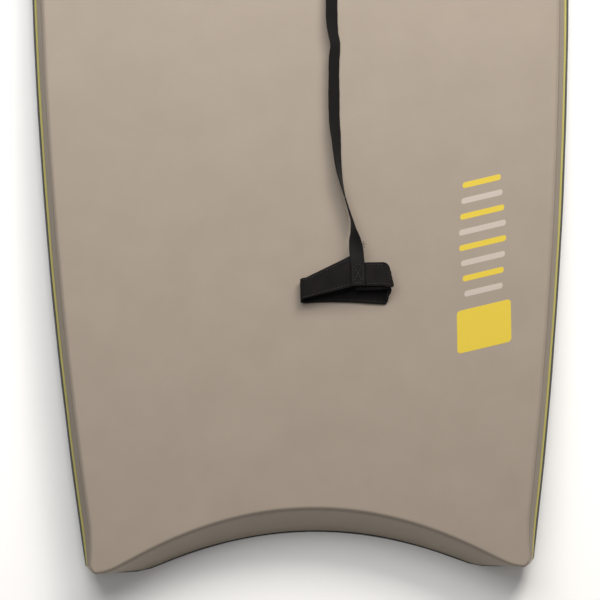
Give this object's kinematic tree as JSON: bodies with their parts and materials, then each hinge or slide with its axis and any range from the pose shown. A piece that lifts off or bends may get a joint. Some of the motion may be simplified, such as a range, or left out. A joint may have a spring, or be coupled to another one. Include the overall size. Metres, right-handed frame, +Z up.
{
  "type": "bodyboard",
  "caption": "Foam bodyboard with a crescent tail, two-colour chamfered rails, a deck leash plug and a flat webbing leash ending in a hook-and-loop wrist cuff.",
  "frame": {"origin": "on the slick's flat underside, at the middle of the board's length and width", "axes": "+Z up out of the deck, +Y towards the nose, +X to the right seen from above with the nose ahead"},
  "size_m": [0.559, 1.0669, 0.0805],
  "materials": {
    "eps_foam": "fine beaded closed-cell foam, matt",
    "deck_foam": "soft closed-cell foam sheet, matt taupe",
    "rail_foam": "soft closed-cell foam, matt taupe",
    "pinline_foam": "soft closed-cell foam, matt yellow",
    "black_rail": "soft closed-cell foam, matt black",
    "slick": "smooth, slightly glossy sheet",
    "mesh_film": "woven net set in a thin film",
    "glassfibre": "pultruded tube, satin",
    "cap_rubber": "matt",
    "plug_plastic": "moulded, satin",
    "bar_steel": "stainless, satin",
    "string_nylon": "braided cord",
    "webbing": "flat woven nylon",
    "cuff_fabric": "brushed loop pile on foam-backed cloth",
    "hook_tape": "moulded hooks on tape"
  },
  "bodies": {
    "board": {"foam_core": "eps_foam", "deck_skin": "deck_foam", "slick_skin": "slick", "mesh_film": "mesh_film", "right_upper_rail": "rail_foam", "left_upper_rail": "rail_foam", "right_pinline": "pinline_foam", "left_pinline": "pinline_foam", "right_lower_rail": "black_rail", "left_lower_rail": "black_rail", "tail_strip": "rail_foam", "nose_strip": "rail_foam", "stringer_tube": "glassfibre", "front_stringer_cap": "cap_rubber", "rear_stringer_cap": "cap_rubber", "plug_cup": "plug_plastic", "plug_bar": "bar_steel", "plug_base": "plug_plastic"},
    "string": {"leash_string": "string_nylon", "string_knot": "string_nylon"},
    "strap": {"strap_tab": "webbing", "leash_strap": "webbing", "cuff_band": "cuff_fabric", "loop_patch": "cuff_fabric"},
    "flap": {"cuff_flap": "cuff_fabric", "hook_patch": "hook_tape"}
  },
  "joints": [
    {"name": "string_swing", "type": "hinge", "parent": "board", "child": "string", "pos_m": [0.033, 0.24, 0.046], "axis": [-1, 0, 0], "range_deg": [0, 85]},
    {"name": "strap_swing", "type": "hinge", "parent": "string", "child": "strap", "pos_m": [0.033, 0.19, 0.0583], "axis": [-1, 0, 0], "range_deg": [0, 75]},
    {"name": "flap_peel", "type": "hinge", "parent": "strap", "child": "flap", "pos_m": [0.0624, -0.2285, 0.0688], "axis": [0, -1, 0], "range_deg": [0, 95]}
  ]
}
